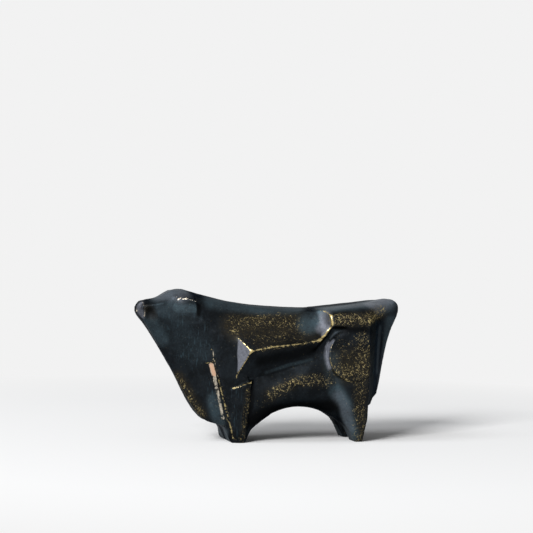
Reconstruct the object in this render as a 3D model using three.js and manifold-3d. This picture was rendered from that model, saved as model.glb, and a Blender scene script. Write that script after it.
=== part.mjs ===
// A cast bronze ox, abstracted into planes, a bow-shaped chest and a few gouge cuts.
// It is a closed hollow lost-wax casting: a bronze shell, the clay core it was cast round, which
// stayed inside, and the iron nails that held the core in the mould, cut flush and chased over.
// Millimetres. X runs from the muzzle to the tail, Z is up, and the near flank faces -Y.
import * as THREE from "three";
import { mergeVertices } from "three/addons/utils/BufferGeometryUtils.js";
import { ConvexGeometry } from "three/addons/geometries/ConvexGeometry.js";
import { LoftGeometry } from "three/addons/geometries/LoftGeometry.js";
import Module from "manifold-3d";

const wasm = await Module();
wasm.setup();

// Overall size
const length = 178;
const height = 100;
const width = 60;

// Shell, core and nails
const wall = 5;
const fitGap = 0.3;
const nailDiameter = 2.4;
const nailEndSpacing = 9;

// Carving
const gougeDepth = 4.2;
const gougeHalfWidth = 12.7;
const haunchRadius = 17;
const haunchRise = 6;
const haunchDraft = 1.2;
const haunchTilt = 5;

// The form is laid out in percent: along the length from just ahead of the muzzle, up from the
// ground, and out from the middle plane to the widest point.
const muzzleStation = 0.6;
const tailStation = 99.6;
const run = (share) => (share / (tailStation - muzzleStation)) * length;
const along = (share) => run(share - (muzzleStation + tailStation) / 2);
const up = (share) => (share / 100) * height;
const out = (share) => (share / 100) * (width / 2);
const at = (x, y, z) => new THREE.Vector3(along(x), out(y), up(z));
const inSideView = ([x, z]) => new THREE.Vector2(along(x), up(z));
const sides = { near: -1, far: 1 };

// Solids

function solid(geometry) {
  const bare = new THREE.BufferGeometry().copy(geometry);
  for (const name of Object.keys(bare.attributes)) {
    if (name !== "position") bare.deleteAttribute(name);
  }
  const merged = mergeVertices(bare, 1e-4);
  const mesh = new wasm.Mesh({
    numProp: 3,
    vertProperties: new Float32Array(merged.attributes.position.array),
    triVerts: new Uint32Array(merged.index.array),
  });
  return new wasm.Manifold(mesh);
}

const joined = (solids) => solids.reduce((whole, next) => whole.add(next));

function moveTo(geometry, side, [x, y, z]) {
  const centre = at(x, side * y, z);
  return geometry.translate(centre.x, centre.y, centre.z);
}

// A convex block from its corners, on one side of the body.
function block(side, corners) {
  return solid(new ConvexGeometry(corners.map(([x, y, z]) => at(x, side * y, z))));
}

// A convex block that is the same on both sides.
function doubleBlock(corners) {
  return solid(new ConvexGeometry(corners.flatMap(([x, y, z]) => [at(x, y, z), at(x, -y, z)])));
}

// An outline in the side view, carried across the body.
function slab(shape, halfWidth) {
  const settings = { depth: 2 * halfWidth, bevelEnabled: false, curveSegments: 10 };
  const geometry = new THREE.ExtrudeGeometry(shape, settings);
  geometry.rotateX(Math.PI / 2);
  geometry.translate(0, halfWidth, 0);
  return solid(geometry);
}

// A skin through rings of points, closed at both ends.
const loft = (rings) => solid(new LoftGeometry(rings, { capStart: true, capEnd: true }));

// A ring that is the same on both sides, from the half of it on the near side.
function mirroredRing(half) {
  return [...half.map(([x, y, z]) => at(x, -y, z)), ...[...half].reverse().map(([x, y, z]) => at(x, y, z))];
}

// Values given at stations, read between them on a smooth curve.
function reading(stations) {
  const curve = new THREE.SplineCurve(stations.map(([s, v]) => new THREE.Vector2(s, v)));
  const points = curve.getPoints(stations.length * 12);
  return (s) => {
    const after = points.findIndex((p) => p.x >= s);
    if (after < 0) return points.at(-1).y;
    if (after === 0) return points[0].y;
    const [a, b] = [points[after - 1], points[after]];
    return a.y + ((b.y - a.y) * (s - a.x)) / (b.x - a.x);
  };
}

// Side outline: the back from muzzle to rump, the tail, the arch under the belly, the chest

const backLine = [
  [2.4, 91.3], [9.4, 94.9], [15.6, 99.91], [21.3, 97.6], [36.5, 91.3], [50.4, 88.5], [64.5, 87.4],
  [78.6, 89.3], [94.6, 93.3],
];
const tailLine = [
  [98, 92], [tailStation, 85.4], [96.2, 69.3], [94, 50], [92.5, 35], [91.2, 30.6], [88.7, 28.4],
];
const archLine = [
  [80.2, 3.4], [77.3, 11.2], [70.1, 19.2], [60.6, 22.2], [50.5, 18], [43.9, 9.5], [41.2, 2.4],
];
const chestLine = [
  [32.8, 10.2], [26.4, 14.2], [21.5, 24.4], [15, 45.8], [9.2, 63], [4.7, 75.3], [1.7, 82],
];
const muzzleTip = [[muzzleStation, 86.6], [2.4, 91.3]];

function sideOutline() {
  const shape = new THREE.Shape();
  const line = (x, z) => shape.lineTo(along(x), up(z));
  const bend = (points) => shape.splineThru(points.map(inSideView));
  shape.moveTo(along(2.4), up(91.3));
  bend(backLine.slice(1));
  bend(tailLine);
  line(85.8, 21);
  line(84, 0);
  line(81, 0);
  bend(archLine);
  line(40.3, 0);
  line(35.4, 0);
  line(34.4, 3);
  bend(chestLine);
  bend(muzzleTip);
  return shape;
}

// Roof: how far the back has fallen half way out from the spine, and how boxy the fall is. The
// flank has a flatter roof than the rest, because its own upper plane does most of the falling.

const spine = reading(backLine);
const flankDrop = reading([[0, 8], [37, 7], [46, 5], [56, 4], [66, 2.3], [102, 3]]);
const bodyDrop = reading([
  [0, 11], [12, 10], [21, 10.2], [30, 10.4], [37, 9.4], [43, 9.4], [49, 7.6], [56, 4.2], [66, 1.8],
  [71, 0.7], [77, 0.4], [82, 0.5], [85.3, 0.9], [88.4, 1.8], [91, 6], [93.6, 14], [96, 17], [102, 18],
]);
const bodyBoxiness = reading([
  [0, 2], [12, 2.3], [21, 3], [30, 2.5], [40, 2.1], [50, 2], [62, 2.1], [68, 3], [73, 4.5], [85, 4.7],
  [88.4, 4], [91, 2.9], [93.6, 2.1], [102, 2],
]);

function roof(drop, boxiness) {
  const eaves = 101;
  const clearOfSpine = 0.02;
  const rings = [];
  for (let s = -2; s <= 102; s += 3.25) {
    const ring = [];
    for (let a = 90; a >= -90; a -= 9) {
      const y = eaves * Math.sin(THREE.MathUtils.degToRad(a));
      ring.push(at(s, y, spine(s) + clearOfSpine - drop(s) * Math.abs(y / 50) ** boxiness(s)));
    }
    ring.push(at(s, -eaves, -2), at(s, eaves, -2));
    rings.push(ring);
  }
  return loft(rings);
}

// Forequarter: plan sections like a boat's bow, from the keel of the chest back to the shoulder.

const bowFront = reading([
  [0, 32], [10.2, 32], [14.2, 26.1], [24.4, 21.2], [45.8, 14.7], [63, 9.3], [75.3, 4.9], [81.3, 2.7],
  [86, 2.2], [91, 3], [95, 9], [101, 15],
]);
const keel = reading([
  [0, 20], [14, 24], [25, 20], [40, 13], [60, 12], [72, 18], [80, 25], [90, 25], [101, 30],
]);
const shoulder = reading([
  [0, 60], [20, 66], [40, 73.5], [56, 75], [70, 75], [80, 69], [92, 57], [104, 50],
]);
const shoulderAt = 36;
const bowFullness = 1.4;

function forequarter() {
  const levels = [0, 7, 14, 21, 28, 36, 44, 52, 60, 68, 75, 81, 86, 91, 95, 98, 101];
  const rings = levels.map((z) => {
    const [front, narrow, full] = [bowFront(z), keel(z), shoulder(z)];
    const half = [];
    for (let t = 0; t <= 1.001; t += 0.125) {
      const opened = 1 - Math.max(0, 1 - t) ** bowFullness;
      half.push([front + (shoulderAt - front) * t, narrow + (full - narrow) * opened, z]);
    }
    half.push([41, full - 10, z], [47, full - 34, z], [54, 8, z]);
    return mirroredRing(half);
  });
  return loft(rings);
}

// Flank: a double wedge whose edge is the long ridge, ended by a round nose behind the gouge. The
// nose widens towards the middle plane, so that its wall slopes into the hollow before the haunch.

const ridgeFront = [40.4, 100, 60.9];
const ridgeBack = [75, 91, 71.3];
const ridgeCrest = [24.1, 0, 93.1];
const noseLine = [
  [10, 110], [10, -5], [60, -5], [61.5, 50], [64, 61], [66.4, 66.6], [68.6, 70.8], [70.3, 75], [71.1, 79.5],
  [70.6, 84], [68.5, 88.5], [64, 94],
];
const noseCentre = [50, 70];
const noseSpread = 0.3;
const noseLevel = 90;

function flank() {
  const wedge = doubleBlock([
    ridgeFront, ridgeBack, ridgeCrest, [75, 0, 103.8], [24.1, 0, -1.5], [75, 0, 21.1],
  ]);
  const [middle, level] = noseCentre;
  const rings = [105, 0, -105].map((y) => {
    const spread = 1 + noseSpread * (1 - Math.abs(y) / noseLevel);
    return noseLine.map(([x, z]) => at(middle + (x - middle) * spread, y, level + (z - level) * spread));
  });
  return wedge.intersect(loft(rings));
}

// Run of the gouge from its round end forward, as [percent of the length, share of the depth].
const gougeEnd = [70.4, 69, 78.2];
const gougeAim = [40, 79.3, 67.8];
const gougeRun = [
  [-1.2, -3], [-0.5, -1.2], [0, 0], [0.6, 0.28], [1.3, 0.5], [2.4, 0.73], [4.6, 0.93], [8, 1], [13, 0.95],
  [19, 0.72], [25, 0.4], [30, 0.12], [34, -0.1], [40, -0.9], [48, -3.4],
];

// The gouge hollows the flank above the ridge and runs out towards the shoulder.
function flankGouge(side) {
  const radius = (gougeHalfWidth ** 2 + gougeDepth ** 2) / (2 * gougeDepth);
  const lift = radius - gougeDepth;
  const curve = new THREE.SplineCurve(
    gougeRun.map(([s, d]) => new THREE.Vector2(lift + d * gougeDepth, run(s))),
  );
  const profile = curve.getPoints(34);
  const [first, last] = [profile[0], profile.at(-1)];
  profile.unshift(new THREE.Vector2(0, first.y));
  profile.push(new THREE.Vector2(0, last.y));
  const cutter = new THREE.LatheGeometry(profile, 44);

  const places = [ridgeFront, ridgeBack, ridgeCrest, gougeEnd, gougeAim];
  const [front, back, crest, end, aim] = places.map(([x, y, z]) => at(x, side * y, z));
  const outward = new THREE.Vector3().crossVectors(back.sub(front), crest.sub(front)).normalize();
  if (outward.y * side < 0) outward.negate();
  const forward = aim.sub(end);
  forward.addScaledVector(outward, -forward.dot(outward)).normalize();
  const across = new THREE.Vector3().crossVectors(outward, forward);
  const pose = new THREE.Matrix4().makeBasis(outward, forward, across);
  pose.setPosition(end.addScaledVector(outward, lift));
  return solid(cutter.applyMatrix4(pose));
}

// Belly: sections across the body, from the hollow under the ridge down round to the underside.

const creaseHeight = reading([[33, 42], [43, 43], [53, 47], [62, 54], [69, 65], [76, 69], [86, 67]]);
const creaseHalf = reading([[33, 63], [43, 64], [62, 67], [69, 72], [76, 67], [86, 62]]);
const bellyHalf = reading([
  [33, 61], [36, 64], [43, 71], [49, 80], [55, 84], [62, 86], [69, 80], [76, 70], [86, 58],
]);
const bellyLevel = reading([[33, 27], [36, 28], [43, 31], [53, 36], [62, 41], [69, 42], [76, 36], [86, 30]]);
const bellyLow = reading([
  [33, -2], [36, -4], [42, 2], [46, 9], [53, 18.6], [60, 21.2], [66, 20.4], [72, 16], [77, 8], [80, 0],
  [86, -4],
]);

const bellyFullness = 0.8;

function belly() {
  const rings = [];
  for (let s = 34; s <= 86; s += 3.25) {
    const [hollow, crease, half, level] = [creaseHalf(s), creaseHeight(s), bellyHalf(s), bellyLevel(s)];
    const side = [[s, 0.5, crease + 16], [s, hollow * 0.62, crease + 9]];
    for (let t = 0; t < 1; t += 0.25) {
      side.push([s, hollow + (half - hollow) * Math.sin((t * Math.PI) / 2), crease + (level - crease) * t]);
    }
    for (let a = 0; a < 90; a += 11.25) {
      const turn = THREE.MathUtils.degToRad(a);
      const low = level - (level - bellyLow(s)) * Math.sin(turn);
      side.push([s, half * Math.cos(turn) ** bellyFullness, low]);
    }
    side.push([s, 0.5, bellyLow(s)]);
    rings.push(mirroredRing(side));
  }
  return loft(rings);
}

// Fore legs: the mass behind the long edge of the shoulder, with a carved wedge proud of it.

function foreLeg(side) {
  return block(side, [
    [27.5, 64, 61.5], [27, 55, 60], [31.7, 69.6, 35], [30.8, 60, 33], [36.6, 60.5, 0], [35.4, 52, 0],
    [36, 70, 60], [41, 74, 40], [41.4, 60, 10], [40.3, 59, 0],
    [28, 0, 60], [33, 0, 8], [36, 0, 0], [40.3, 0, 0], [42, 0, 50],
  ]);
}

function foreLegWedge(side) {
  return block(side, [
    [34.4, 73, 35.4], [39.6, 81, 38.9], [41.5, 77, 40.2], [38.4, 64, 0], [40.2, 60, 0], [36.8, 61, 0],
    [34.4, 60, 37.6], [42.7, 69, 42], [42.9, 50, 42.5], [40.3, 50, 0], [34.6, 40, 37], [36.6, 40, 0],
  ]);
}

// A flat cut in the lower chest leaves a narrow wall in front of the shoulder's edge.
function chestCut(side) {
  return block(side, [
    [22.4, 48.8, 52.3], [26.4, 52.2, 52.3], [28.1, 59.5, 52.3], [28.8, 110, 52.3], [22.4, 110, 52.3],
    [31, 43.4, -2], [34.9, 46.8, -2], [35.1, 52, -2], [35.3, 110, -2], [31, 110, -2],
  ]);
}

// Hindquarter: plan sections from the haunch round the bevel to the fin of the tail. Above the
// haunch the side steps out into the band of the hip.

const haunchLevels = [
  [24.2, 50, 67, 80], [36, 56, 70, 84], [50, 64, 73, 85], [64, 68, 75, 84], [71.5, 62, 71, 84],
  [74.8, 66, 74, 86], [76.6, 84, 89, 87], [81, 83, 89, 86], [86, 76, 81, 79], [92, 66, 71, 70],
  [98, 60, 65, 64],
];
const bevelEnd = reading([[20, 90.6], [30, 91.2], [54, 92.2], [87, 93.4], [100, 94]]);
const tailEnd = reading([
  [20, 91.8], [31, 92.6], [50, 94.2], [62, 95.6], [70, 97.2], [76, 98.6], [84, 100.5], [100, 100.5],
]);
const [haunchFront, haunchMiddle, haunchEdge] = [70.6, 79, 85.3];
const bevelHollow = 1.2;
const finHalf = 27;

function hindquarter() {
  const rings = haunchLevels.map(([z, front, middle, wide]) => {
    const [root, end] = [bevelEnd(z), tailEnd(z)];
    const half = [[haunchFront - 4.6, 3, z], [haunchFront - 2.6, front - 6, z], [haunchFront, front, z]];
    half.push([haunchMiddle, middle, z], [haunchEdge, wide, z]);
    for (const t of [0.3, 0.6, 0.85]) {
      const hollow = bevelHollow * 4 * t * (1 - t);
      half.push([haunchEdge + (root - haunchEdge) * t, wide + (finHalf - wide) * t - hollow, z]);
    }
    half.push([root, finHalf, z], [end - 0.9, 15, z], [end, 9, z], [end + 0.4, 1, z]);
    return mirroredRing(half);
  });
  return loft(rings);
}

// The haunch is a raised round boss with a drafted wall.
const haunchCentre = [79.6, 87, 57.6];

function haunch(side) {
  const boss = new THREE.CylinderGeometry(haunchRadius, haunchRadius + haunchDraft, haunchRise, 44);
  boss.translate(0, -haunchRise / 2, 0);
  if (side < 0) boss.rotateX(Math.PI);
  boss.rotateX(THREE.MathUtils.degToRad(side * haunchTilt));
  moveTo(boss, side, haunchCentre);
  const front = doubleBlock([[50, 110, 0], [haunchEdge, 110, 0], [50, 110, 100], [haunchEdge, 110, 100]]);
  return solid(boss).intersect(front);
}

// Hind leg: plan sections as [height, outer half width, front of the outer face, front inside].
const hindLegLevels = [
  [0, 69, 81.3, 80.2], [8, 75, 80.4, 77.6], [18, 81.5, 78.9, 73.5], [30, 85.6, 78, 71], [42, 87, 77.2, 70],
  [56, 87, 79, 72], [74.4, 86.6, 79, 73], [77.8, 81, 79.5, 74],
];

function hindLeg(side) {
  const inner = 8;
  const rings = hindLegLevels.map(([z, outer, front, inside]) => {
    const ring = [at(haunchEdge, side * inner, z)];
    for (let a = 0; a <= 90; a += 15) {
      const turn = THREE.MathUtils.degToRad(a);
      const x = inside + (front - inside) * (1 - Math.cos(turn));
      ring.push(at(x, side * (inner + (outer - inner) * Math.sin(turn)), z));
    }
    ring.push(at(haunchEdge, side * outer, z));
    return side < 0 ? ring : ring.reverse();
  });
  return loft(rings);
}

// Head: a domed crown, a muzzle turned like a cup and tilted down, a hollow in each cheek behind
// it, and two swept-back horns.

const crownCentre = [16.6, 0, 89];
const crownRadii = [8.4, 38, 11.3];
const muzzleCentre = [4.2, 0, 85.7];
const [muzzleHalfHeight, muzzleHalfWidth] = [6, 34];
const muzzleTurn = 106;
const muzzleProfile = [
  [0, -4], [0.8, -3.6], [0.88, -0.8], [1, 0.9], [0.97, 2.1], [0.85, 3.7], [0.6, 5.4], [0.3, 6.5], [0, 6.8],
];
const cheekCentre = [5.2, 38, 84.2];
const cheekRadii = [2.2, 18, 5.4];
const cheekTurn = 25;

function ellipsoid([x, y, z]) {
  return new THREE.SphereGeometry(1, 28, 16).scale(run(x), out(y), up(z));
}

const crown = () => solid(moveTo(ellipsoid(crownRadii), sides.far, crownCentre));

function muzzle() {
  const rim = up(muzzleHalfHeight);
  const profile = muzzleProfile.map(([r, d]) => new THREE.Vector2(r * rim, up(d)));
  const cup = new THREE.LatheGeometry(profile, 28);
  cup.scale(1, 1, out(muzzleHalfWidth) / rim);
  cup.rotateZ(THREE.MathUtils.degToRad(muzzleTurn));
  return solid(moveTo(cup, sides.far, muzzleCentre));
}

function cheekHollow(side) {
  const scoop = ellipsoid(cheekRadii).rotateY(THREE.MathUtils.degToRad(cheekTurn));
  return solid(moveTo(scoop, side, cheekCentre));
}

function horn(side) {
  return block(side, [
    [13.4, 31, 91.7], [15.6, 39, 93.3], [18.7, 49, 94], [21.6, 58.5, 92.2], [22, 56, 82.8],
    [18.6, 46, 84.2], [15.3, 37, 84.4], [15, 10, 98], [21.4, 10, 96.5], [21.8, 10, 84], [13, 10, 86],
  ]);
}

// Space between the two legs of a pair, as [half width, height] at each end.
function legGap(from, to, ends) {
  const rings = [from, to].map((x, end) => {
    const [half, top] = ends[end];
    const ring = [];
    for (let a = 0; a <= 180; a += 15) {
      const turn = THREE.MathUtils.degToRad(a);
      ring.push(at(x, half * Math.cos(turn), top * Math.abs(Math.sin(turn)) ** 0.8));
    }
    ring.push(at(x, -half * 1.1, -6), at(x, half * 1.1, -6));
    return ring;
  });
  return loft(rings);
}

function outerForm() {
  const masses = [forequarter(), belly(), hindquarter()];
  for (const side of Object.values(sides)) {
    masses.push(foreLeg(side), foreLegWedge(side), haunch(side), hindLeg(side));
  }
  const body = joined(masses).intersect(roof(bodyDrop, bodyBoxiness));
  const flanks = flank().intersect(roof(flankDrop, () => 2));
  let form = joined([body, flanks, crown(), horn(sides.near), horn(sides.far)]);
  for (const side of Object.values(sides)) {
    form = form.subtract(flankGouge(side)).subtract(chestCut(side)).subtract(cheekHollow(side));
  }
  form = form.add(muzzle()).intersect(slab(sideOutline(), width));
  form = form.subtract(legGap(34, 46, [[2, 1.5], [18, 9]]));
  return form.subtract(legGap(70, 92, [[19, 9], [27, 23]]));
}

// Core: a rough ox of clay, one wall thickness inside the skin, as [station, half width, top, low].
const coreStations = [
  [17, 33, 94, 61], [20, 42, 95, 51], [28, 57, 92, 29], [36, 67, 89.5, 22], [45, 60, 87.5, 23],
  [55, 60, 85.5, 23], [65, 58, 85, 23], [75, 67, 86, 23], [84, 73, 87, 26], [88, 58, 88, 31],
  [91, 42, 88, 39],
];

function coreForm(inset) {
  const last = coreStations.length - 1;
  const rings = coreStations.map(([s, half, top, low], index) => {
    const middle = up((top + low) / 2);
    const [wide, tall] = [out(half) - inset, up((top - low) / 2) - inset];
    const endShift = index === 0 ? inset - wall : index === last ? wall - inset : 0;
    const ring = [];
    for (let a = 0; a < 360; a += 22.5) {
      const turn = THREE.MathUtils.degToRad(a);
      const bulge = (v) => Math.sign(v) * Math.abs(v) ** 0.85;
      const y = wide * bulge(Math.cos(turn));
      ring.push(new THREE.Vector3(along(s) + endShift, y, middle + tall * bulge(Math.sin(turn))));
    }
    return ring;
  });
  return loft(rings);
}

// Core nails go in from both flanks, level and square to the middle plane.
const nailPlaces = { neck: [21.5, 58.2], shoulder: [35, 74], belly: [56, 36], haunch: [80, 60] };

function nailRod(side, [x, z], radius) {
  const inner = nailEndSpacing / 2;
  const outer = width;
  const rod = new THREE.CylinderGeometry(radius, radius, outer - inner, 12);
  rod.translate(along(x), (side * (outer + inner)) / 2, up(z));
  return solid(rod);
}

// Geometry, materials and pieces

function geometryOf(made) {
  const mesh = made.getMesh();
  const geometry = new THREE.BufferGeometry();
  geometry.setAttribute("position", new THREE.BufferAttribute(mesh.vertProperties, 3));
  geometry.setIndex(new THREE.BufferAttribute(mesh.triVerts, 1));
  return geometry;
}

const bronze = new THREE.MeshStandardMaterial({ color: 0x1c2226, roughness: 0.42, metalness: 0.85 });
const clay = new THREE.MeshStandardMaterial({ color: 0x9a6b4a, roughness: 0.95, metalness: 0 });
const iron = new THREE.MeshStandardMaterial({ color: 0x4a4440, roughness: 0.6, metalness: 0.9 });

const ox = new THREE.Group();

function piece(name, made, material) {
  const mesh = new THREE.Mesh(geometryOf(made), material);
  mesh.name = name;
  ox.add(mesh);
}

const skin = outerForm();
let shell = skin.subtract(coreForm(wall - fitGap));
let core = coreForm(wall);

for (const [sideName, side] of Object.entries(sides)) {
  for (const [place, spot] of Object.entries(nailPlaces)) {
    const hole = nailRod(side, spot, nailDiameter / 2 + fitGap);
    shell = shell.subtract(hole);
    core = core.subtract(hole);
    piece(`core_nail_${place}_${sideName}`, nailRod(side, spot, nailDiameter / 2).intersect(skin), iron);
  }
}
piece("bronze_shell", shell, bronze);
piece("clay_core", core, clay);

export default ox;
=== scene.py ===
"""Cast bronze ox: the finished skin of the casting with its worn patina, the clay core and the iron
nails inside it, and a plain pale studio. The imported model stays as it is, and the pieces ride on it.
Shapes are given in millimetres on the near half, and the far half mirrors them.
"""

import math
from typing import NamedTuple

import bmesh
import bpy
import numpy as np
from bpy.props import FloatProperty, FloatVectorProperty, IntProperty, PointerProperty
from mathutils import Matrix, Vector, noise
from mathutils.bvhtree import BVHTree
from mathutils.kdtree import KDTree


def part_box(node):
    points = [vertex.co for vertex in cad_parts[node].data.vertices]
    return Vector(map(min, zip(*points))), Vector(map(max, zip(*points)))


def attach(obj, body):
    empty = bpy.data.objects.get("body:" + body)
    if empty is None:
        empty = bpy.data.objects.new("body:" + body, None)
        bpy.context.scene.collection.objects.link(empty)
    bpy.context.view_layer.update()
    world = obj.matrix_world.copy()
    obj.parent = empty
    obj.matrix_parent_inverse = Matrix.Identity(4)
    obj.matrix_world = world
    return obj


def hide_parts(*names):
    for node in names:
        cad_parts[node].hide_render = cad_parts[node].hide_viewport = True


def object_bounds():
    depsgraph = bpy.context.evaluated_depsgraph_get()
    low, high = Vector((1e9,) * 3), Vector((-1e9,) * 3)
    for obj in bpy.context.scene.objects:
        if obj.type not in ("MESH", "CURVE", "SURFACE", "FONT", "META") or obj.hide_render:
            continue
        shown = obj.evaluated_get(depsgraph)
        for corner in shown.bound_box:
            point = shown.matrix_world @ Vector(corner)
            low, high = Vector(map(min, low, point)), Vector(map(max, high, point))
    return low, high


bl_info = {
    "name": "Cast bronze ox",
    "version": (1, 0, 0),
    "blender": (4, 5, 0),
    "location": "View3D > Sidebar > Ox",
    "description": "Builds the skin, core, nails and studio of a small cast bronze ox",
    "category": "Object",
}

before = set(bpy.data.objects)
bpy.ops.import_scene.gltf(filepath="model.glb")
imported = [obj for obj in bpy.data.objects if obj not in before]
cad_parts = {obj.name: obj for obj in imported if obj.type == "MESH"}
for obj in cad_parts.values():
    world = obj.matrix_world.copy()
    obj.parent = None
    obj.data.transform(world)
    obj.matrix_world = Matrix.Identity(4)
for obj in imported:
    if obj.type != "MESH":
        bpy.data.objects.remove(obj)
cad_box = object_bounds()

MM = 0.001
BODY = "root"
SHELL = "bronze_shell"
CORE = "clay_core"
NAILS = sorted(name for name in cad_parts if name.startswith("core_nail_"))


# Landmarks of the near half, as (length, half width, height) in millimetres

HAUNCH_CENTRE = (52.8, 57.5)
HAUNCH_RADIUS = 17


def haunch_arc(start, end, offset=0.0, half_width=26):
    """Points round the haunch boss, from one angle to another, in degrees."""
    step = 12
    turns = [math.radians(angle) for angle in range(start, end + 1, step)]
    reach = HAUNCH_RADIUS + offset
    x, z = HAUNCH_CENTRE
    return [(x + reach * math.cos(turn), half_width, z + reach * math.sin(turn)) for turn in turns]


RIDGE_FRONT = (-17.4, 30, 60.9)
RIDGE = [RIDGE_FRONT, (-6.7, 29.3, 62.5), (5.8, 28.8, 64.3), (18.4, 27.8, 65.8), (28.8, 27.4, 67.7)]
RIM = [(28.8, 27.2, 67.7), (32.8, 24.6, 70.4), (36, 23.6, 74), (37.4, 25, 78.4), (36.8, 23.2, 83.4)]
RIM_TOP = [(36.8, 23.2, 83.4), (34.8, 17, 85.8), (30.4, 11.3, 86.2)]
FACET_TOP = [(-27, 22, 72), RIDGE_FRONT]
FACET_LOW = [RIDGE_FRONT, (-24.9, 22.5, 44)]
SHOULDER_LINE = [
    (-40.8, 18.8, 61.2), (-39.5, 18.5, 54.8), (-36.9, 18.6, 43.5), (-34.3, 18.8, 33.8),
    (-30.7, 18.4, 20.9), (-26, 17.8, 3.5),
]
STRIP = [(-41, 16.8, 51), (-38.9, 16.5, 44.9), (-36.8, 16, 35.8), (-34.7, 15.4, 26.7), (-32, 15, 16)]
WEDGE_LEDGE = [(-27.4, 21.8, 36), (-21.7, 23, 38), (-15.4, 23, 40.2)]
WEDGE_EDGE = [(-15.9, 23.2, 38.5), (-16.8, 22.2, 30.2), (-18.4, 20.4, 13.5), (-19.4, 19, 2)]
WEDGE_BAND = [(-17.4, 23.2, 35), (-19.8, 19.8, 4)]
HIP_EDGE = [(37.4, 23.8, 83.6), (50.2, 24.8, 84.4), (66.8, 19.4, 86)]
HIP_DIAGONAL = [(62.6, 25.6, 79.6), (70, 17.2, 83.4), (77.4, 8.8, 87)]
HIND_EDGE = [(63, 26, 76), (63, 26.4, 48), (62.2, 24, 19), (61, 21, 2)]
HORN_EDGE = [(-65.2, 10.6, 93), (-61, 12, 94), (-56, 15, 94), (-51.7, 17, 92.4)]
MUZZLE_RIM = [(-85, 5, 91.2), (-83.8, 8, 88.6), (-83.6, 7.6, 84.8), (-84, 7.9, 81.6)]
CREASE = [(-5, 20.4, 46.2), (9.7, 21, 51), (17.4, 21, 53), (25, 21.1, 54.6)]
KEEL = [(-60.4, 4.4, 40.9), (-55.9, 5.5, 33.4), (-51.5, 6.8, 26), (-46.2, 7.7, 18.4)]
HAUNCH_WALL = [(36.4, 22, 65.6), (34.6, 22.2, 62.3), (33.8, 22.7, 57.8), (34.4, 23.2, 52.6), (36.4, 23.3, 48)]


class Stroke(NamedTuple):
    """A brushed line with its reach and strength. With a facing, it only takes where the surface looks
    that way, within some degrees."""

    line: list
    reach: float
    strength: float
    facing: tuple = None
    within: float = 30


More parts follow.
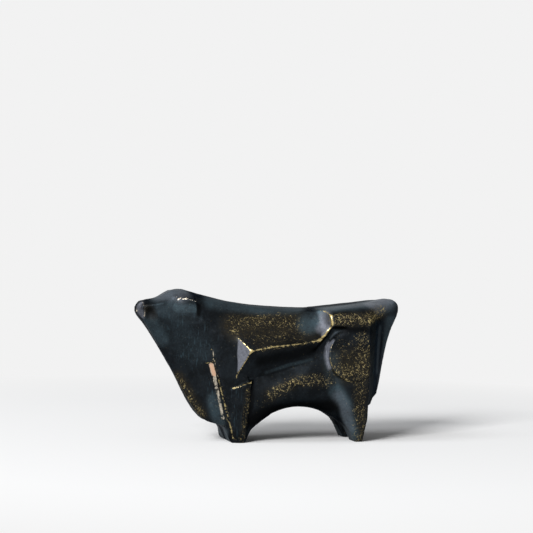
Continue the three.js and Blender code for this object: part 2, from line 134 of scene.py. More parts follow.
# Wear, colour, painted light and painted shade, field by field. A field that ends in _edge shows on crisp
# edges alone
STROKES = {
    "gilt": [
        Stroke(RIM, 2.2, 0.95),
        Stroke(RIM_TOP, 1.3, 0.54),
        Stroke(RIDGE, 1.6, 0.26),
        Stroke([RIDGE_FRONT], 2.4, 0.8),
        Stroke([(-27.4, 20.4, 73.4)], 2.2, 0.62),
        Stroke(SHOULDER_LINE[2:], 1.1, 0.62),
        Stroke(HIP_DIAGONAL, 1.5, 0.62),
        Stroke(WEDGE_LEDGE, 1.2, 0.6),
        Stroke([(-50.8, 17, 91.6)], 1.6, 0.8),
        Stroke([(-44.6, 15.6, 52), (-39.4, 18.4, 53.2)], 1, 0.75),
    ],
    "gilt_edge": [
        Stroke(RIDGE, 3.2, 0.6),
        Stroke(FACET_TOP, 3, 0.85),
        Stroke(FACET_LOW, 3, 0.7),
        Stroke(HIP_EDGE[:2], 3, 0.45),
        Stroke(HIP_DIAGONAL, 3.4, 0.5),
        Stroke(haunch_arc(188, 272), 3, 0.75),
        Stroke(haunch_arc(140, 188), 3, 0.42),
        Stroke(HIND_EDGE, 3, 0.36),
        Stroke(WEDGE_EDGE, 3, 0.5),
        Stroke(KEEL, 6, 0.4),
    ],
    "cream": [
        Stroke(SHOULDER_LINE[:3], 1, 0.6),
        Stroke(STRIP[:2], 2.8, 0.92),
        Stroke(STRIP[1:3], 2.2, 0.78),
        Stroke(STRIP[2:], 1.9, 0.62),
        Stroke(MUZZLE_RIM, 1, 0.5),
        Stroke(WEDGE_LEDGE[:2], 0.9, 0.4),
        Stroke([(35, 20, 84.6), (36.6, 22.6, 81), (36, 22.4, 75.6), (31.6, 22.6, 71.6)], 1.4, 0.42),
        Stroke([(-49.8, 15.6, 57.6)], 1.1, 0.9),
        # A painted glint on the front of the nose, in the pale metal's colour
        Stroke([(-88, 3.6, 85.3)], 1, 1),
    ],
    "cream_edge": [
        Stroke(HORN_EDGE, 3, 0.74),
    ],
    "peach": [
        Stroke(STRIP[:2], 2.2, 1),
    ],
    "fleck": [
        Stroke([(-25, 17, 79), (-12, 16, 80), (4, 15, 80), (14, 16, 78)], 9, 0.66),
        Stroke([(-16, 24, 68), (0, 22, 70), (18, 21, 71)], 8, 0.52),
        Stroke([(-27, 20, 74)], 6, 0.8),
        Stroke(RIDGE, 3, 0.7),
        Stroke([(38.5, 24.6, 81.2), (50, 26, 81.4), (62, 25.4, 80.6), (76, 10, 86)], 6.5, 1),
        Stroke([(41, 26.8, 48), (50, 27, 45.5), (58, 27, 46), (58, 26.4, 56), (58, 26, 68)], 8.5, 0.86),
        Stroke([(46, 26, 60), (56, 26, 63)], 12, 0.5),
        Stroke([(57, 26, 39), (57.4, 25.2, 25), (58, 23.5, 13), (58.4, 21.3, 2.8)], 7, 0.64),
        Stroke([(-2, 24, 32), (4.3, 24.8, 36), (14.9, 25.5, 40.4), (27.4, 25.1, 42)], 6.2, 0.9),
        Stroke([(27.4, 25.1, 42), (37, 23.5, 39.7)], 6, 0.8),
        Stroke([(-9, 21.6, 26)], 5, 0.4),
        Stroke(KEEL, 6, 0.85),
        Stroke(WEDGE_BAND, 3, 0.75),
        Stroke([(-24, 18, 2), (-20, 19, 2)], 3.4, 0.6),
        Stroke(SHOULDER_LINE, 2.2, 0.6),
        Stroke(STRIP, 3.4, 0.5),
    ],
    "umber": [
        Stroke([(-25, 19, 77), (14, 17, 77)], 15, 1),
        Stroke([(-10, 24, 66), (24, 21, 71)], 10, 0.7),
        Stroke([(38, 24, 81), (62, 25, 81), (76, 10, 86)], 8, 0.9),
        Stroke([(44, 26, 50), (60, 26, 52)], 16, 0.9),
        Stroke([(57.4, 26, 38), (58.4, 21, 3)], 7, 0.6),
        Stroke([(-4, 23, 31), (15, 25.5, 41), (36, 23.5, 41)], 7, 0.4),
        Stroke([(67, 20, 76), (66.4, 20, 29)], 7, 0.6),
        Stroke(KEEL, 8, 0.8),
        Stroke([(-80.7, 7, 86), (-78.4, 7.6, 82)], 5, 0.9),
        Stroke(WEDGE_BAND, 3.4, 0.5),
    ],
    # Blue-grey bloom of the patina on the neck, and painted sheen on the lit faces of the horn, crown, back,
    # hip, legs, chin, crease and gouge
    "bloom_and_sheen": [
        Stroke([(-72, 12, 88), (-58, 16, 84)], 12, 0.35),
        Stroke([(-63.4, 12.6, 88), (-53, 16.4, 87.4)], 4.6, 1),
        Stroke([(-40, 8, 90), (-6, 8, 88), (17, 8, 87)], 9, 0.7),
        Stroke([(37, 13, 87.4), (53, 14, 89), (72, 8, 90.4), (80, 4, 92)], 11, 1),
        Stroke([(-74, 4, 93), (-60, 5, 99)], 8, 0.8),
        # The patina's own blue-grey bloom on the neck
        Stroke([(-66, 11, 70), (-50, 16, 60)], 16, 0.2),
        Stroke([(42, 22, 34), (47.8, 24.2, 24), (50.6, 22, 13), (53.4, 20, 4)], 7.4, 1),
        Stroke([(40, 23, 40), (38, 23, 56)], 8, 0.5),
        Stroke(CREASE, 1.9, 0.62),
        Stroke([(-28.5, 10.6, 8), (-28, 8, 2)], 7, 0.9),
        Stroke([(53, 14, 8), (54, 12, 2)], 6, 0.8),
        Stroke([(-80, 8.3, 79), (-72, 6.3, 67)], 8, 0.7),
        Stroke([(84, 6, 78), (81, 6, 36)], 7, 0.6),
        Stroke([(74.3, 11.1, 74), (73.2, 10.9, 46)], 3.6, 0.3),
        Stroke([(-38, 14.6, 28), (-35, 14, 14)], 7, 0.8),
        Stroke([(24, 15.8, 77)], 11, 0.9),
    ],
    # Painted highlights: pale lamp reflections laid on the facet, gouge, haunch wall, legs, hip, muzzle and
    # crown
    "painted_highlight": [
        # Painted highlight on the facet, only where it faces the lamps
        Stroke([(-22, 26, 66), (-23, 24, 48)], 14, 0.86, (-0.7, 0.71, 0), 16),
        Stroke([(34.4, 19, 83), (35.4, 20.4, 79), (32.4, 20, 74.6)], 6, 0.6),
        Stroke(haunch_arc(146, 206, 0.9, 24), 2.4, 0.9),
        Stroke([(36.9, 23.2, 82), (37.2, 24, 78.6), (36.2, 23.2, 74.6), (32.6, 23.6, 71)], 2.8, 0.9),
        Stroke(HAUNCH_WALL, 1.3, 0.4),
        Stroke([(44, 22, 30), (47.4, 23.6, 22), (50.6, 22, 9)], 6.6, 0.2),
        Stroke([(68, 13, 90), (80, 4, 92.4)], 9, 0.5),
        Stroke([(38, 14, 87.4), (60, 14, 89)], 7, 0.16),
        Stroke([(-86.4, 4.4, 89.4), (-86.5, 5, 86), (-85.6, 7, 82.8)], 3.8, 0.5),
        Stroke([(-71.4, 3, 95.4), (-64.6, 5.6, 98), (-59.3, 9.3, 96.8)], 9, 0.3),
    ],
    # Painted shade: near-black laid in the undercuts, behind and under the horn, in the muzzle's hollow, on
    # and under the belly and by the front foot
    "painted_shade": [
        Stroke([(-10, 24, 55), (10, 24, 58), (24, 24, 62)], 6.5, 0.8),
        Stroke([(-49, 14, 90), (-49.8, 16.6, 84)], 2.6, 0.9),
        Stroke([(-62, 14, 81.6), (-51, 16.6, 80.6)], 2.6, 0.5),
        Stroke([(-13.4, 22, 38), (-16.4, 19, 10)], 2.4, 0.8),
        Stroke([(42, 24, 73.5), (60, 25, 74.5)], 3.4, 0.8),
        Stroke([(-10, 21, 34), (-3, 21, 43)], 8, 0.5),
        Stroke([(-30, 17, 4), (-22, 19, 3)], 5, 0.5),
        Stroke([(-81, 6.6, 82.4), (-80, 6.8, 86), (-78.4, 7.4, 83)], 4.6, 0.9),
        Stroke([(-12, 19, 14), (0, 20, 20), (18, 18, 20), (38, 18, 22)], 10, 0.95),
    ],
    "scratch": [
        Stroke([(-67, 11.7, 76), (-55, 15, 72), (-48, 16.6, 64), (-55, 12.6, 58)], 14, 1),
        Stroke([(-71.4, 3, 95.4), (-59.3, 9.3, 96.8)], 8, 0.8),
        Stroke([(70, 16, 74), (69, 16, 34)], 9, 0.7),
        Stroke([(-24, 22, 34), (-22, 20, 6)], 8, 0.6),
        Stroke([(-42, 14.8, 42), (-38, 14.4, 26)], 6, 0.7),
    ],
}

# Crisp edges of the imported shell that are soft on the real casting, each with its reach
SOFT_PLACES = [
    ([(22, 20.8, 53.8), (25.2, 22.4, 58), (28.6, 20, 62), (33.4, 19.6, 66), (36.4, 18.6, 70.6)], 4.4),
    ([(36.4, 18.6, 70.6), (41.2, 19.6, 70.8), (45, 20.6, 73)], 4.4),
    ([(36.9, 21.6, 64.8), (33.4, 21.4, 64.3), (29.8, 21.1, 61.5)], 3.6),
    ([(49.1, 25.2, 74.6), (49, 25.2, 68)], 3.4),
    (haunch_arc(84, 132), 3.4),
    (CREASE, 3.4),
    ([(-18, 20, 79), (0, 21, 84), (22, 20, 87)], 7),
    ([(-38.3, 12, 49.7), (-32.6, 14, 18.3)], 2),
    ([(-79, 7.6, 83.4)], 5.4),
]


class OxSkinSettings(bpy.types.PropertyGroup):
    """How finely the skin is meshed and how far its edges are rubbed down."""

    grain: FloatProperty(
        name="Mesh spacing", description="Distance between the skin's vertices",
        default=0.75 * MM, min=0.4 * MM, max=2 * MM, unit="LENGTH",
    )
    crisp_angle: FloatProperty(
        name="Crisp angle", description="Edges of the casting sharper than this stay readable",
        default=math.radians(24), subtype="ANGLE",
    )
    crisp_reach: FloatProperty(
        name="Crisp reach", description="How far from a crisp edge the surface keeps its shape",
        default=2.4 * MM, unit="LENGTH",
    )
    edge_rounds: IntProperty(
        name="Edge rubbing", description="Rounds of smoothing over the whole skin", default=2, min=0,
    )
    plane_rounds: IntProperty(
        name="Plane rubbing", description="Rounds of smoothing away from the crisp edges",
        default=70, min=0,
    )
    hand: FloatProperty(
        name="Hand work", description="Height of the slow waves that hand finishing left",
        default=0.16 * MM, unit="LENGTH",
    )
    tooling: FloatProperty(
        name="Tool marks", description="Height of the small dabs left by the modelling tool",
        default=0.07 * MM, unit="LENGTH",
    )


class OxPatinaSettings(bpy.types.PropertyGroup):
    """Colours of the patina, of the painted highlights and of the painted shade, from the painted shade to
    the metal worn bare.
    """

    ink: FloatVectorProperty(
        name="Blue-black", description="Patina over most of the ox",
        default=(0.0125, 0.0155, 0.0185), subtype="COLOR",
    )
    night: FloatVectorProperty(
        name="Deep black", description="Darker clouds in the patina",
        default=(0.0085, 0.010, 0.0115), subtype="COLOR",
    )
    umber: FloatVectorProperty(
        name="Umber", description="Brown patina round the worn places",
        default=(0.028, 0.0235, 0.0155), subtype="COLOR",
    )
    # This blue-grey also serves as painted sheen on the lit faces
    slate: FloatVectorProperty(
        name="Slate", description="Blue-grey bloom on the smooth and sheltered planes",
        default=(0.029, 0.048, 0.059), subtype="COLOR",
    )
    # Painted highlight: the pale colour laid where the lamps would shine on the planes
    painted_highlight: FloatVectorProperty(
        name="Lilac", description="Burnished planes that face the light",
        default=(0.145, 0.152, 0.18), subtype="COLOR",
    )
    # Painted shade: the near-black laid in the undercuts, the hollows and under the belly
    painted_shade: FloatVectorProperty(
        name="Soot", description="Patina at the bottom of the undercuts",
        default=(0.004, 0.0043, 0.0046), subtype="COLOR",
    )
    sheen: FloatVectorProperty(
        name="Sheen", description="How much the dull patina mirrors at a glancing angle",
        default=(0.38, 0.40, 0.42), subtype="COLOR",
    )
    fleck: FloatVectorProperty(
        name="Flecks", description="Dull gold of the worn cast grain",
        default=(0.13, 0.11, 0.06), subtype="COLOR",
    )
    gilt: FloatVectorProperty(
        name="Bare metal", description="Yellow metal along the rubbed edges",
        default=(0.42, 0.335, 0.155), subtype="COLOR",
    )
    cream: FloatVectorProperty(
        name="Cream", description="Pale metal of the filed cuts",
        default=(0.5, 0.445, 0.355), subtype="COLOR",
    )
    peach: FloatVectorProperty(
        name="Peach", description="Freshly cut metal in the chest's notch",
        default=(0.62, 0.40, 0.27), subtype="COLOR",
    )


class OxStudioSettings(bpy.types.PropertyGroup):
    """Camera, lamps and floor of the plain studio."""

    lens: FloatProperty(
        name="Lens", description="Focal length of the camera", default=174, unit="CAMERA",
    )
    azimuth: FloatProperty(
        name="Azimuth", description="How far the camera stands round towards the head",
        default=math.radians(14.4), subtype="ANGLE",
    )
    elevation: FloatProperty(
        name="Elevation", description="How far the camera stands above level",
        default=math.radians(4.9), subtype="ANGLE",
    )
    roll: FloatProperty(
        name="Roll", description="Tilt of the camera about its own axis",
        default=math.radians(0.93), subtype="ANGLE",
    )
    ground: FloatVectorProperty(
        name="Ground", description="Colour of the floor and the backdrop",
        default=(0.888, 0.888, 0.888), subtype="COLOR",
    )
    sky: FloatProperty(
        name="Sky", description="Strength of the even light from all round", default=0.18,
    )
    key: FloatProperty(
        name="Key lamp", description="Power of the softbox that throws the shadow",
        default=425, unit="POWER",
    )
    high: FloatProperty(
        name="High lamp", description="Power of the softbox above the head",
        default=115, unit="POWER",
    )


# Meshes

def welded(node):
    """The node's mesh, with the corners that the file splits joined again."""
    form = bmesh.new()
    form.from_mesh(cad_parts[node].data)
    bmesh.ops.remove_doubles(form, verts=form.verts, dist=0.001 * MM)
    return form


def chase_over(form):
    """Closes the skin and the hollow over the nail holes, as the founder chases them over."""
    hole_margin = 1.44
    holes = []
    for name in NAILS:
        low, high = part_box(name)
        holes.append(((low + high) / 2, (high.x - low.x) / 2 * hole_margin))

    def in_hole(vert, hole):
        middle, reach = hole
        level = math.hypot(vert.co.x - middle.x, vert.co.z - middle.z)
        return vert.co.y * middle.y > 0 and level < reach

    walls = [f for f in form.faces if any(all(in_hole(v, h) for v in f.verts) for h in holes)]
    bmesh.ops.delete(form, geom=walls, context="FACES")
    rims = [edge for edge in form.edges if edge.is_boundary]
    bmesh.ops.holes_fill(form, edges=rims, sides=0)


def split_skin(form):
    """Takes the hollow off the form and returns it, so that the form is the outer skin alone."""
    tip = min(form.verts, key=lambda vert: vert.co.x)
    skin = {tip}
    waiting = [tip]
    while waiting:
        vert = waiting.pop()
        for edge in vert.link_edges:
            other = edge.other_vert(vert)
            if other not in skin:
                skin.add(other)
                waiting.append(other)
    form.verts.index_update()
    kept = {vert.index for vert in skin}
    hollow = form.copy()
    bmesh.ops.delete(hollow, geom=[v for v in hollow.verts if v.index in kept], context="VERTS")
    bmesh.ops.delete(form, geom=[v for v in form.verts if v not in skin], context="VERTS")
    return hollow


def evenly_meshed(form, spacing):
    """A new mesh over the form, with its vertices evenly spaced."""
    mesh = bpy.data.meshes.new("rough_skin")
    form.to_mesh(mesh)
    rough = bpy.data.objects.new("rough_skin", mesh)
    bpy.context.scene.collection.objects.link(rough)
    remesh = rough.modifiers.new("Even", "REMESH")
    remesh.mode = "VOXEL"
    remesh.voxel_size = spacing
    shown = rough.evaluated_get(bpy.context.evaluated_depsgraph_get())
    fine = bpy.data.meshes.new_from_object(shown)
    bpy.data.objects.remove(rough)
    return fine


def numbers(collection, name, width, kind=np.float64):
    """One attribute of a mesh's vertices or edges, as rows of numbers."""
    flat = np.empty(len(collection) * width, kind)
    collection.foreach_get(name, flat)
    return flat.reshape(-1, width) if width > 1 else flat


class Relief:
    """The skin as arrays: places, neighbours and normals."""

    def __init__(self, mesh):
        self.mesh = mesh
        self.places = numbers(mesh.vertices, "co", 3)
        self.edges = numbers(mesh.edges, "vertices", 2, np.int32)
        self.count = np.bincount(self.edges.ravel(), minlength=len(self.places))

    def neighbour_mean(self, values):
        """Mean of each vertex's neighbours, for numbers or for points."""
        start, end = self.edges.T
        columns = values.reshape(len(values), -1).T
        sums = [
            np.bincount(start, column[end], len(values)) + np.bincount(end, column[start], len(values))
            for column in columns
        ]
        return (np.array(sums) / self.count).T.reshape(values.shape)

    def relax(self, rounds, ease=1.0):
        """Rubs the skin down; ease says how much each vertex gives way, from 0 to 1."""
        full_give = 0.6
        give = np.broadcast_to(ease, len(self.places))[:, None] * full_give
        for _ in range(rounds):
            self.places += (self.neighbour_mean(self.places) - self.places) * give

    def normals(self):
        """The normal of each vertex."""
        self.mesh.vertices.foreach_set("co", self.places.ravel())
        self.mesh.update()
        return numbers(self.mesh.vertices, "normal", 3)

    def raise_by(self, heights):
        """Moves each vertex out along its normal."""
        self.places += self.normals() * heights[:, None]

    def mark(self, name, values):
        """Keeps a number for each vertex under a name that the materials read."""
        layer = self.mesh.attributes.new(name, "FLOAT", "POINT")
        layer.data.foreach_set("value", np.asarray(values, np.float32))


def smooth_step(values, low, high):
    """0 below low, 1 above high, and an even rise between them."""
    share = np.clip((values - low) / (high - low), 0, 1)
    return share * share * (3 - 2 * share)


def near_half(places):
    """Places in millimetres, with the far half folded onto the near one."""
    folded = places / MM
    folded[:, 1] = np.abs(folded[:, 1])
    return folded


def line_distance(line, places):
    """Distance from each place to a line of points, or to a single point."""
    nearest = np.full(len(places), np.inf)
    for start, end in zip(line, line[1:] or line):
        start, way = np.array(start), np.subtract(end, start)
        share = np.clip((places - start) @ way / max(way @ way, 1e-9), 0, 1)
        nearest = np.minimum(nearest, np.linalg.norm(places - start - share[:, None] * way, axis=1))
    return nearest


def brushed(line, reach, places):
    """1 along the line, fading to 0 at its reach."""
    core = 0.3
    return 1 - smooth_step(line_distance(line, places), core * reach, reach)


def crisp_points(form, angle):
    """Points along the edges of the form that are sharper than the angle, or much sharper in a hollow."""
    point_spacing = 0.2 * MM
    hollow_factor = 1.5
    points = []
    for edge in form.edges:
        if not edge.is_manifold:
            continue
        limit = angle if edge.is_convex else angle * hollow_factor
        if edge.calc_face_angle() > limit:
            start, end = (vert.co for vert in edge.verts)
            steps = max(1, math.ceil(edge.calc_length() / point_spacing))
            points += [start.lerp(end, step / steps) for step in range(steps + 1)]
    return points


def nearest_of(points, places):
    """The nearest of the points to each place, and how far it is."""
    tree = KDTree(len(points))
    for index, point in enumerate(points):
        tree.insert(point, index)
    tree.balance()
    found = [tree.find(place) for place in places]
    return np.array([hit[0] for hit in found]), np.array([hit[2] for hit in found])


def waves(places, size, seed):
    """Smooth noise over the skin, between about -1 and 1."""
    shift = Vector((seed, 2 * seed, 3 * seed))
    return np.array([noise.noise(Vector(place) / size + shift) for place in places])


def shown_mesh(context, name, mesh, material):
    """A smooth-shaded piece from a mesh, riding on the body with its material."""
    mesh.polygons.foreach_set("use_smooth", [True] * len(mesh.polygons))
    mesh.materials.clear()
    mesh.materials.append(material)
    piece = bpy.data.objects.new(name, mesh)
    context.scene.collection.objects.link(piece)
    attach(piece, BODY)
    return piece


# Shader maths and finishes

NOISE_MIDDLE = 0.5


class Wire:
    """An output of a node; plain arithmetic on it adds Math nodes."""

    def __init__(self, finish, socket):
        self.finish = finish
        self.socket = socket

    def maths(self, operation, *values):
        return self.finish.node("ShaderNodeMath", {"operation": operation}, dict(enumerate(values)))

    def __add__(self, other):
        return self.maths("ADD", self, other)

    def __sub__(self, other):
        return self.maths("SUBTRACT", self, other)

    def __rsub__(self, other):
        return self.maths("SUBTRACT", other, self)

    def __mul__(self, other):
        return self.maths("MULTIPLY", self, other)

    def clipped(self):
        return self.finish.node("ShaderNodeClamp", {}, {"Value": self})

    __radd__ = __add__
    __rmul__ = __mul__


class Finish:
    """A material or world and the nodes that give it its look."""

    def __init__(self, owner):
        owner.use_nodes = True
        self.tree = owner.node_tree
        self.tree.nodes.clear()

    def node(self, kind, settings, inputs, output=0):
        """Adds a node: its settings first, then its inputs. Returns one of its outputs."""
        made = self.tree.nodes.new(kind)
        for name, value in settings.items():
            setattr(made, name, value)
        sockets = [socket for socket in made.inputs if socket.enabled]
        for key, value in inputs.items():
            socket = sockets[key] if isinstance(key, int) else next(s for s in sockets if s.name == key)
            if isinstance(value, Wire):
                self.tree.links.new(value.socket, socket)
            elif socket.type == "RGBA":
                socket.default_value = (*value[:3], 1)
            else:
                socket.default_value = value
        results = [socket for socket in made.outputs if socket.enabled]
        if not results:
            return None
        chosen = results[output] if isinstance(output, int) else next(s for s in results if s.name == output)
        return Wire(self, chosen)

    def place(self):
        return self.node("ShaderNodeTexCoord", {}, {}, "Object")

    def field(self, name):
        return self.node("ShaderNodeAttribute", {"attribute_name": name}, {}, "Fac")

    def grain(self, place, size, detail=2.0, roughness=0.5, distortion=0.0):
        """Noise whose lumps are about the given size."""
        values = {"Vector": place, "Scale": 1 / size, "Detail": detail, "Roughness": roughness}
        return self.node("ShaderNodeTexNoise", {}, {**values, "Distortion": distortion})

    def stretched(self, place, shares):
        return self.node("ShaderNodeVectorMath", {"operation": "MULTIPLY"}, {0: place, 1: shares})

    def blend(self, share, first, second):
        """The first colour, turning into the second as share goes from 0 to 1."""
        return self.node("ShaderNodeMix", {"data_type": "RGBA"}, {"Factor": share, "A": first, "B": second})

    def above(self, value, threshold, sharpness):
        """0 below the threshold and 1 above it, with a rise as steep as the sharpness."""
        return ((value - threshold) * sharpness).clipped()

    def relief(self, height, strength, depth):
        """The normal of a surface that is raised by the height."""
        return self.node("ShaderNodeBump", {}, {"Strength": strength, "Distance": depth, "Height": height})

    def surface(self, **values):
        """Ends the material in one metal or mineral surface."""
        shader = self.node("ShaderNodeBsdfPrincipled", {}, values)
        self.node("ShaderNodeOutputMaterial", {}, {"Surface": shader})


def patina(settings):
    """Dark patina, worn through to gold on the grain and the edges, with painted highlights, painted sheen
    and painted shade.
    """
    edge_width = 0.95
    upright = (1, 1, 0.09)
    relief_depth = 0.16 * MM
    material = bpy.data.materials.new("patina")
    finish = Finish(material)
    place = finish.place()
    gilt, gilt_edge, cream, cream_edge, peach, fleck, umber, bloom_and_sheen, painted_highlight, painted_shade, scratch = (
        finish.field(name) for name in STROKES
    )
    edge = (1 - finish.field("edge_gap") * (1 / edge_width)).clipped()
    cloud = finish.grain(place, 9 * MM, 3)
    beads = finish.grain(place, 1.9 * MM, 2, 0.6, 0.6)
    grit = finish.grain(place, 1.15 * MM, 1.6, 0.6, 1.2)
    dust = finish.grain(place, 0.5 * MM, 2)
    streaks = finish.grain(finish.stretched(place, upright), 0.9 * MM, 2)
    bead_swing, grit_swing, dust_swing, streak_swing = (
        noise_value - NOISE_MIDDLE for noise_value in (beads, grit, dust, streaks)
    )

    # Dark ground, brown wear, blue-grey bloom with painted sheen, painted highlights and painted shade
    inked = finish.above(cloud + bead_swing * 0.8, 0.38, 4)
    browned = (umber * (0.15 + cloud + grit_swing * 2.4)).clipped()
    # Blue-grey bloom, and painted sheen on the lit faces
    bloom_and_sheen_mask = (bloom_and_sheen * (0.1 + cloud * 1.2 + grit_swing * 1.7)).clipped()
    scratched = (finish.above(streaks, 0.6, 9) * (0.12 + bloom_and_sheen * 0.2 + scratch * 0.75)).clipped()
    mottled = finish.above(grit + dust_swing * 0.5, 0.52, 4) * scratch * 0.3
    # Painted highlights over the planes that face the lamps
    painted_highlight_mask = (painted_highlight * (0.8 + bead_swing * 0.9 + grit_swing * 0.9)).clipped()
    colour = finish.blend(inked, settings.night, settings.ink)
    colour = finish.blend(browned, colour, settings.umber)
    colour = finish.blend(bloom_and_sheen_mask, colour, settings.slate)
    colour = finish.blend(scratched, colour, settings.slate)
    colour = finish.blend(mottled, colour, settings.slate)
    colour = finish.blend(painted_highlight_mask, colour, settings.painted_highlight)
    # Painted shade over the undercuts, the hollows and the belly
    colour = finish.blend(painted_shade, colour, settings.painted_shade)

    # Gold on the cast grain
    grains = grit + dust_swing * 0.7
    flecks = finish.above(grains + bead_swing * 0.35, 0.745 - fleck * 0.215, 6.5)
    flecks = flecks * (1 - painted_shade * 0.8) * (0.25 + fleck).clipped()
    brassy = finish.blend(finish.above(grains, 0.56, 6), settings.fleck, settings.gilt)
    colour = finish.blend(flecks, colour, brassy)

    # Metal rubbed, filed or cut bare
    uneven = bead_swing * 1.6 + grit_swing * 0.9
    rubbed = finish.above(gilt + gilt_edge * edge + uneven, 0.52, 3.4)
    filed = finish.above(cream + cream_edge * edge + streak_swing * 1.1 + uneven * 0.6, 0.5, 3.4)
    fresh = finish.above(peach + uneven * 0.25, 0.2, 1.4)
    colour = finish.blend(rubbed, colour, settings.gilt)
    colour = finish.blend(filed, colour, settings.cream)
    colour = finish.blend(fresh, colour, settings.peach)

    bare = (rubbed + filed + fresh).clipped()
    metal = (1 - bloom_and_sheen * 0.5 - painted_highlight * 0.8 + bare + flecks).clipped()
    rough = 0.48 + dust_swing * 0.22 + painted_shade * 0.12 - bare * 0.1
    height = grit * 0.7 + dust * 0.35 - flecks * 0.25
    finish.surface(**{
        "Base Color": colour, "Metallic": metal, "Roughness": rough,
        "Normal": finish.relief(height, 0.6, relief_depth), "Specular Tint": settings.sheen,
    })
    return material


def fired_clay():
    """Rough sandy clay, reddened by the melt."""
    red, brown, sandy = (0.36, 0.17, 0.085), (0.20, 0.10, 0.06), (0.48, 0.33, 0.22)
    relief_depth = 0.4 * MM
    material = bpy.data.materials.new("fired_clay")
    finish = Finish(material)
    place = finish.place()
    sand = finish.grain(place, 0.9 * MM, 4, 0.6)
    cloud = finish.grain(place, 14 * MM, 3)
    colour = finish.blend(cloud, red, brown)
    colour = finish.blend(finish.above(sand, 0.6, 8), colour, sandy)
    finish.surface(**{
        "Base Color": colour, "Roughness": 0.82 + sand * 0.2,
        "Normal": finish.relief(sand, 0.7, relief_depth),
    })
    return material


def forged_iron():
    """Scaled iron with rust in its pits."""
    black, grey, rusty = (0.05, 0.048, 0.046), (0.12, 0.11, 0.10), (0.19, 0.07, 0.03)
    relief_depth = 0.2 * MM
    material = bpy.data.materials.new("forged_iron")
    finish = Finish(material)
    place = finish.place()
    scale = finish.grain(place, 0.8 * MM, 4, 0.6, 0.5)
    rust = finish.above(finish.grain(place, 2.2 * MM, 3), 0.55, 8)
    colour = finish.blend(rust, finish.blend(scale, black, grey), rusty)
    finish.surface(**{
        "Base Color": colour, "Metallic": 1 - rust, "Roughness": 0.5 + rust * 0.35,
        "Normal": finish.relief(scale, 0.6, relief_depth),
    })
    return material


# Pieces

class OX_OT_cast_skin(bpy.types.Operator):
    """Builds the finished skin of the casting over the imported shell"""

    bl_idname = "ox.cast_skin"
    bl_label = "Cast skin"

    def execute(self, context):
        settings = context.scene.ox_skin
        form = welded(SHELL)
        chase_over(form)
        hollow = split_skin(form)
        relief = Relief(evenly_meshed(form, settings.grain))
        gap = self.fit_to(relief, form, settings)
        self.work_over(relief, gap, settings)
        self.keep_fields(relief, gap)
        mesh = self.with_hollow(relief.mesh, hollow)
        skin = shown_mesh(context, "cast_skin", mesh, patina(context.scene.ox_patina))
        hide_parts(SHELL)
        form.free()
        return {"FINISHED"}

    def fit_to(self, relief, form, settings):
        """Lays the even mesh on the casting and its crisp edges; returns the distance to those."""
        tree = BVHTree.FromBMesh(form)
        relief.places = np.array([tree.find_nearest(place)[0] for place in relief.places])
        crisp, gap = nearest_of(crisp_points(form, settings.crisp_angle), relief.places)
        on_edge = gap < settings.grain / 2
        relief.places[on_edge] = crisp[on_edge]
        gap[on_edge] = 0
        return gap

    def work_over(self, relief, gap, settings):
        """Smooths the planes, rubs the edges down and leaves the marks of hand and tool."""
        wave_size, dab_size = 11 * MM, 3.1 * MM
        wave_seed, dab_seed = 3, 7
        crisp_core = 0.4 * settings.grain
        near = near_half(relief.places)
        ease = smooth_step(gap, crisp_core, settings.crisp_reach)
        for line, reach in SOFT_PLACES:
            ease = np.maximum(ease, brushed(line, reach, near))
        relief.relax(settings.plane_rounds, ease)
        relief.relax(settings.edge_rounds)
        relief.raise_by(waves(relief.places, wave_size, wave_seed) * settings.hand)
        relief.raise_by(waves(relief.places, dab_size, dab_seed) * settings.tooling)
        relief.places = np.clip(relief.places, *cad_box)
        relief.normals()

    def keep_fields(self, relief, gap):
        """Brushes the strokes of wear, colour, painted light and painted shade onto the vertices."""
        near = near_half(relief.places)
        looks = near_half(relief.normals() * MM)
        relief.mark("edge_gap", gap / MM)
        for field, strokes in STROKES.items():
            laid = np.zeros(len(near))
            for stroke in strokes:
                laid = np.maximum(laid, self.touch(stroke, near, looks))
            relief.mark(field, laid)

    def touch(self, stroke, near, looks):
        """How strongly one stroke takes at each vertex."""
        softness = 0.03
        touch = brushed(stroke.line, stroke.reach, near) * stroke.strength
        if stroke.facing:
            limit = math.cos(math.radians(stroke.within))
            turned = looks @ Vector(stroke.facing).normalized()
            touch *= smooth_step(turned, limit - softness, limit + softness)
        return touch

    def with_hollow(self, mesh, hollow):
        """Joins the casting's hollow back to the skin."""
        inside = bpy.data.meshes.new("hollow")
        hollow.to_mesh(inside)
        hollow.free()
        whole = bmesh.new()
        whole.from_mesh(mesh)
        whole.from_mesh(inside)
        whole.to_mesh(mesh)
        whole.free()
        return mesh


class OX_OT_clay_core(bpy.types.Operator):
    """Gives the packed clay core its fired finish"""

    bl_idname = "ox.clay_core"
    bl_label = "Clay core"

    def execute(self, context):
        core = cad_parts[CORE]
        core.data.materials.clear()
        core.data.materials.append(fired_clay())
        return {"FINISHED"}


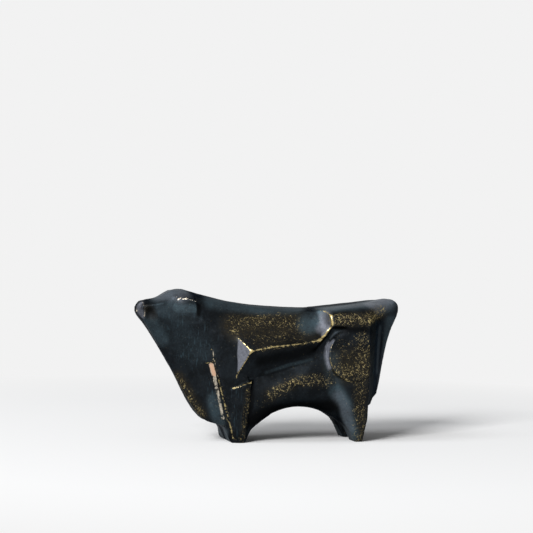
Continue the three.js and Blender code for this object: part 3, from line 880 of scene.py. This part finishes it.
class OX_OT_core_nails(bpy.types.Operator):
    """Forges the nails that hold the core, each ending just under the chased skin"""

    bl_idname = "ox.core_nails"
    bl_label = "Core nails"

    def execute(self, context):
        iron = forged_iron()
        for name in NAILS:
            piece = shown_mesh(context, name.replace("core_", "forged_"), self.nail_mesh(name), iron)
            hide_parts(name)
        return {"FINISHED"}

    def nail_mesh(self, name):
        """A hammered rod with eased ends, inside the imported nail."""
        cover = 1.9 * MM
        sides, steps = 20, 26
        tip, easing = 0.72, 9
        girth, dent_depth, dent_size, dent_shift = 0.95, 0.05, 1.3, 90
        low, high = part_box(name)
        middle = (low + high) / 2
        radius = (high.x - low.x) / 2
        side = math.copysign(1, middle.y)
        inner, outer = sorted((abs(low.y), abs(high.y)))
        end = outer - cover
        form = bmesh.new()
        rings = []
        for step in range(steps + 1):
            share = step / steps
            y = inner + (end - inner) * share
            eased = min(1, tip + easing * min(share, 1 - share))
            ring = []
            for turn in range(sides):
                angle = 2 * math.pi * turn / sides
                way = Vector((math.cos(angle), 0, math.sin(angle)))
                spot = Vector((way.x, y / radius, way.z)) * dent_size + middle * dent_shift
                reach = radius * eased * (girth + dent_depth * noise.noise(spot))
                ring.append(form.verts.new((middle.x + way.x * reach, side * y, middle.z + way.z * reach)))
            rings.append(ring)
        for first, second in zip(rings, rings[1:]):
            for turn in range(sides):
                after = (turn + 1) % sides
                form.faces.new((first[turn], first[after], second[after], second[turn]))
        form.faces.new(rings[0])
        form.faces.new(rings[-1])
        bmesh.ops.recalc_face_normals(form, faces=form.faces)
        mesh = bpy.data.meshes.new(name)
        form.to_mesh(mesh)
        form.free()
        return mesh


# Studio

SENSOR_WIDTH = 36


class Softbox(NamedTuple):
    """A square lamp, placed by its angles in degrees round and up, and its side in metres."""

    azimuth: float
    elevation: float
    side: float
    colour: tuple


KEY_SOFTBOX = Softbox(azimuth=44, elevation=31, side=2.0, colour=(1, 1, 1))
HIGH_SOFTBOX = Softbox(azimuth=75, elevation=50, side=2.6, colour=(0.95, 0.97, 1))


def seen_directly(finish):
    """1 for the rays that show the background itself: straight, off gloss and through glass."""
    straight, glossy, through = (
        finish.node("ShaderNodeLightPath", {}, {}, ray)
        for ray in ("Is Camera Ray", "Is Glossy Ray", "Is Transmission Ray")
    )
    return (straight + glossy + through).clipped()


def hang(context, name, softbox, power):
    """Adds a softbox that faces the ox."""
    distance = 6
    lamp = bpy.data.lights.new(name, "AREA")
    lamp.size = softbox.side
    lamp.energy = power
    lamp.color = softbox.colour
    box = bpy.data.objects.new(name, lamp)
    context.scene.collection.objects.link(box)
    turn, rise = math.radians(softbox.azimuth), math.radians(softbox.elevation)
    away = Vector((-math.sin(turn) * math.cos(rise), -math.cos(turn) * math.cos(rise), math.sin(rise)))
    box.matrix_world = Matrix.Translation(away * distance) @ away.to_track_quat("Z", "Y").to_matrix().to_4x4()


def photo_view(settings):
    """The camera's place: the ox's middle lies on its pixel, at the photograph's scale."""
    middle_pixel = (266.1, 363.8)
    picture_side = 533
    pixels_per_metre = 1517
    focus = picture_side * settings.lens / SENSOR_WIDTH
    middle = Vector((0, 0, 50 * MM))
    level = math.cos(settings.elevation)
    back = Vector((
        -math.sin(settings.azimuth) * level,
        -math.cos(settings.azimuth) * level,
        math.sin(settings.elevation),
    ))
    across = middle_pixel[0] - picture_side / 2
    above = picture_side / 2 - middle_pixel[1]
    turn = complex(across, above) * complex(math.cos(settings.roll), math.sin(settings.roll))
    right = (-back).cross(Vector((0, 0, 1))).normalized()
    ahead = (-back - right * turn.real / focus - right.cross(-back) * turn.imag / focus).normalized()
    right = ahead.cross(Vector((0, 0, 1))).normalized()
    view = Matrix((right, right.cross(ahead), -ahead)).transposed().to_4x4()
    place = middle + back * focus / pixels_per_metre
    return Matrix.Translation(place) @ view @ Matrix.Rotation(settings.roll, 4, "Z")


class OX_OT_studio(bpy.types.Operator):
    """Sets up the camera, the lamps and the pale floor"""

    bl_idname = "ox.studio"
    bl_label = "Studio"

    def execute(self, context):
        settings = context.scene.ox_studio
        context.scene.view_settings.view_transform = "Standard"
        self.camera(context, settings)
        self.world(context, settings)
        self.floor(context, settings)
        hang(context, "key_softbox", KEY_SOFTBOX, settings.key)
        hang(context, "high_softbox", HIGH_SOFTBOX, settings.high)
        return {"FINISHED"}

    def camera(self, context, settings):
        camera = bpy.data.cameras.new("photo_camera")
        camera.lens = settings.lens
        camera.sensor_width = SENSOR_WIDTH
        eye = bpy.data.objects.new("photo_camera", camera)
        context.scene.collection.objects.link(eye)
        eye.matrix_world = photo_view(settings)
        context.scene.camera = eye

    def world(self, context, settings):
        """Even light all round, behind a backdrop of the ground's colour."""
        world = bpy.data.worlds.new("studio")
        context.scene.world = world
        finish = Finish(world)
        light = finish.node("ShaderNodeBackground", {}, {"Color": (1, 1, 1), "Strength": settings.sky})
        backdrop = finish.node("ShaderNodeBackground", {}, {"Color": settings.ground, "Strength": 1.0})
        mixed = finish.node("ShaderNodeMixShader", {}, {0: seen_directly(finish), 1: light, 2: backdrop})
        finish.node("ShaderNodeOutputWorld", {}, {"Surface": mixed})

    def floor(self, context, settings):
        """A pale floor that takes the shadow near the ox and runs into the backdrop further off."""
        half_side, squares = 6, 8
        fade_start, fade_width = 0.27, 0.2
        form = bmesh.new()
        bmesh.ops.create_grid(form, x_segments=squares, y_segments=squares, size=half_side)
        mesh = bpy.data.meshes.new("floor")
        form.to_mesh(mesh)
        form.free()
        floor = bpy.data.objects.new("floor", mesh)
        context.scene.collection.objects.link(floor)
        material = bpy.data.materials.new("pale_floor")
        mesh.materials.append(material)
        finish = Finish(material)
        reach = finish.node("ShaderNodeVectorMath", {"operation": "LENGTH"}, {0: finish.place()}, "Value")
        far = finish.above(reach, fade_start, 1 / fade_width)
        matt = finish.node("ShaderNodeBsdfDiffuse", {}, {"Color": settings.ground})
        plain = finish.node("ShaderNodeEmission", {}, {"Color": settings.ground, "Strength": 1.0})
        shares = {0: far * seen_directly(finish), 1: matt, 2: plain}
        mixed = finish.node("ShaderNodeMixShader", {}, shares)
        finish.node("ShaderNodeOutputMaterial", {}, {"Surface": mixed})


class OX_PT_workshop(bpy.types.Panel):
    """The steps that make the ox, in order"""

    bl_idname = "OX_PT_workshop"
    bl_label = "Cast bronze ox"
    bl_space_type = "VIEW_3D"
    bl_region_type = "UI"
    bl_category = "Ox"

    def draw(self, context):
        for step in STEPS:
            self.layout.operator(step.bl_idname)


SETTINGS = {"ox_skin": OxSkinSettings, "ox_patina": OxPatinaSettings, "ox_studio": OxStudioSettings}
STEPS = [OX_OT_cast_skin, OX_OT_clay_core, OX_OT_core_nails, OX_OT_studio]


def register():
    for shelf in [*SETTINGS.values(), *STEPS, OX_PT_workshop]:
        bpy.utils.register_class(shelf)
    for name, group in SETTINGS.items():
        setattr(bpy.types.Scene, name, PointerProperty(type=group))


def unregister():
    for name in SETTINGS:
        delattr(bpy.types.Scene, name)
    for shelf in [OX_PT_workshop, *reversed(STEPS), *SETTINGS.values()]:
        bpy.utils.unregister_class(shelf)


def main():
    register()
    bpy.ops.ox.cast_skin()
    bpy.ops.ox.clay_core()
    bpy.ops.ox.core_nails()
    bpy.ops.ox.studio()


if __name__ == "__main__":
    main()
